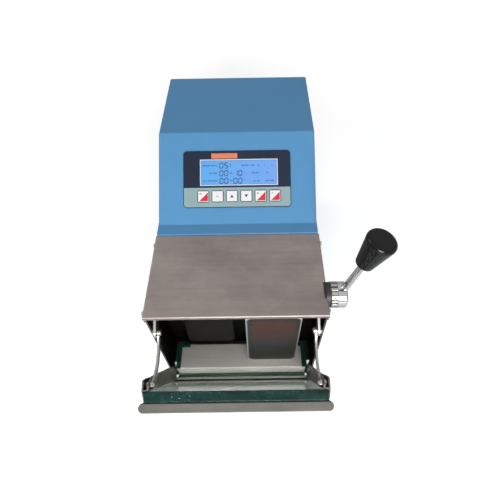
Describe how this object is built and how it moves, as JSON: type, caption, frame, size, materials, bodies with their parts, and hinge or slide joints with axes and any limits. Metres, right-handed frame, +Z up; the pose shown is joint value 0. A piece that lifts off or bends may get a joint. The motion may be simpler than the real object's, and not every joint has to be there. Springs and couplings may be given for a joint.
{
  "type": "paddle blender homogenizer",
  "caption": "Bench-top paddle blender with a blue sloping control housing, steel sample chamber, bottom-hinged glass door and a side lever that shuts it.",
  "frame": {"origin": "middle of the footprint, with the open door and lever, at bench level", "axes": "+X to the user's right, +Y from the door to the rear panel, +Z up"},
  "size_m": [0.2878, 0.4934, 0.3101],
  "materials": {
    "base_steel": "galvanised sheet",
    "foot_rubber": "moulded black rubber",
    "stainless": "satin stainless sheet",
    "cover_stainless": "stainless brushed from side to side",
    "tray_stainless": "smooth stainless sheet",
    "paddle_stainless": "finely ground stainless",
    "screw_steel": "bright machined steel",
    "blue_paint": "satin blue powder coat",
    "dark_plate": "dark satin paint",
    "green_rubber": "green rubber",
    "black_rubber": "matt black rubber",
    "belt_rubber": "ribbed drive belt",
    "black_plastic": "moulded black plastic",
    "black_gloss": "polished black plastic",
    "white_nylon": "natural nylon",
    "key_plastic": "printed key film",
    "bezel_film": "printed matt film on plastic",
    "display_glass": "backlit display window",
    "door_glass": "clear plate glass, green at its edges",
    "cast_aluminium": "machined aluminium",
    "bronze": "sintered bronze",
    "bearing_steel": "ground bearing steel",
    "bright_steel": "turned bright steel",
    "chrome": "chromium plated",
    "motor_enamel": "grey enamel",
    "board_green": "circuit board laminate"
  },
  "bodies": {
    "machine": {"base_plate": "base_steel", "rubber_feet": "foot_rubber", "chamber_side_left": "stainless", "chamber_side_right": "stainless", "top_cover": "cover_stainless", "housing_screws": "screw_steel", "rear_housing": "blue_paint", "rear_panel": "blue_paint", "chamber_back_plate": "dark_plate", "floor_tray": "tray_stainless", "tray_trim": "green_rubber", "front_sill": "stainless", "hinge_pins": "screw_steel", "lever_bushes": "black_plastic", "guide_blocks": "cast_aluminium", "guide_bushes": "bronze", "shaft_bearings": "bearing_steel", "bearing_blocks": "cast_aluminium", "drive_belt": "belt_rubber", "motor": "motor_enamel", "motor_bracket": "base_steel", "display_bezel": "bezel_film", "display_window": "display_glass", "lcd_module": "board_green", "control_board": "board_green", "mains_inlet": "black_plastic", "switch_frame": "black_plastic", "power_supply": "board_green"},
    "door": {"door_glass": "door_glass", "door_bracket_left": "stainless", "door_bracket_right": "stainless", "door_rail": "stainless", "door_gasket": "black_rubber", "door_seal": "green_rubber", "door_handle_bar": "stainless"},
    "lever": {"lever_shaft": "bright_steel", "crank_arms": "stainless", "arm_screws": "screw_steel", "clamp_collar": "bright_steel", "lever_hub": "chrome", "lever_rod": "chrome", "lever_knob": "black_gloss"},
    "right_link": {"link_right": "stainless", "nylon_nut": "white_nylon"},
    "left_link": {"link_left": "stainless"},
    "right_paddle": {"paddle_right": "paddle_stainless", "push_yoke_right": "bright_steel"},
    "left_paddle": {"paddle_left": "paddle_stainless", "push_yoke_left": "bright_steel"},
    "crank": {"crankshaft": "bright_steel", "crank_rollers": "bearing_steel", "crank_pulley": "cast_aluminium"},
    "motor_rotor": {"motor_pulley": "cast_aluminium"},
    "power_switch": {"power_rocker": "black_plastic"},
    "button_1": {"key_1": "key_plastic"},
    "button_2": {"key_2": "key_plastic"},
    "button_3": {"key_3": "key_plastic"},
    "button_4": {"key_4": "key_plastic"},
    "button_5": {"key_5": "key_plastic"},
    "button_6": {"key_6": "key_plastic"}
  },
  "joints": [
    {"name": "door_hinge", "type": "hinge", "parent": "machine", "child": "door", "pos_m": [-0.02981, -0.14179, 0.022], "axis": [-1, 0, 0], "range_deg": [0, 22.1]},
    {"name": "lever_turn", "type": "hinge", "parent": "machine", "child": "lever", "pos_m": [-0.02981, -0.11479, 0.199], "axis": [1, 0, 0], "range_deg": [0, 82.81]},
    {"name": "right_link_pivot", "type": "hinge", "parent": "door", "child": "right_link", "pos_m": [-0.02981, -0.21539, 0.1699], "axis": [-1, 0, 0], "range_deg": [0, 9.89]},
    {"name": "left_link_pivot", "type": "hinge", "parent": "door", "child": "left_link", "pos_m": [-0.02981, -0.21539, 0.1699], "axis": [-1, 0, 0], "range_deg": [0, 9.89]},
    {"name": "crankshaft_turn", "type": "hinge", "parent": "machine", "child": "crank", "pos_m": [-0.02981, -0.02579, 0.122], "axis": [1, 0, 0], "range_deg": [0, 180]},
    {"name": "right_paddle_slide", "type": "slide", "parent": "machine", "child": "right_paddle", "axis": [0, 1, 0], "range_m": [0, 0.03]},
    {"name": "left_paddle_slide", "type": "slide", "parent": "machine", "child": "left_paddle", "axis": [0, -1, 0], "range_m": [0, 0.03]},
    {"name": "motor_turn", "type": "hinge", "parent": "machine", "child": "motor_rotor", "pos_m": [-0.02981, 0.11221, 0.075], "axis": [1, 0, 0], "range_deg": [0, 360]},
    {"name": "power_switch_rock", "type": "hinge", "parent": "machine", "child": "power_switch", "pos_m": [-0.08981, 0.23921, 0.112], "axis": [-1, 0, 0], "range_deg": [0, 16]},
    {"name": "button_1_press", "type": "slide", "parent": "machine", "child": "button_1", "axis": [0, 0.5458, -0.8379], "range_m": [0, 0.0005], "stiffness_N_per_m": 400, "springref_m": -0.0005},
    {"name": "button_2_press", "type": "slide", "parent": "machine", "child": "button_2", "axis": [0, 0.5458, -0.8379], "range_m": [0, 0.0005], "stiffness_N_per_m": 400, "springref_m": -0.0005},
    {"name": "button_3_press", "type": "slide", "parent": "machine", "child": "button_3", "axis": [0, 0.5458, -0.8379], "range_m": [0, 0.0005], "stiffness_N_per_m": 400, "springref_m": -0.0005},
    {"name": "button_4_press", "type": "slide", "parent": "machine", "child": "button_4", "axis": [0, 0.5458, -0.8379], "range_m": [0, 0.0005], "stiffness_N_per_m": 400, "springref_m": -0.0005},
    {"name": "button_5_press", "type": "slide", "parent": "machine", "child": "button_5", "axis": [0, 0.5458, -0.8379], "range_m": [0, 0.0005], "stiffness_N_per_m": 400, "springref_m": -0.0005},
    {"name": "button_6_press", "type": "slide", "parent": "machine", "child": "button_6", "axis": [0, 0.5458, -0.8379], "range_m": [0, 0.0005], "stiffness_N_per_m": 400, "springref_m": -0.0005}
  ],
  "couplings": [
    {"joint": "lever_turn", "follows": "door_hinge", "ratio": 3.7466},
    {"joint": "right_link_pivot", "follows": "door_hinge", "ratio": 0.44703},
    {"joint": "left_link_pivot", "follows": "door_hinge", "ratio": 0.44703},
    {"joint": "right_paddle_slide", "follows": "crankshaft_turn", "m_per_rad": 0.0095493},
    {"joint": "left_paddle_slide", "follows": "crankshaft_turn", "m_per_rad": 0.0095493},
    {"joint": "motor_turn", "follows": "crankshaft_turn", "ratio": 2}
  ]
}
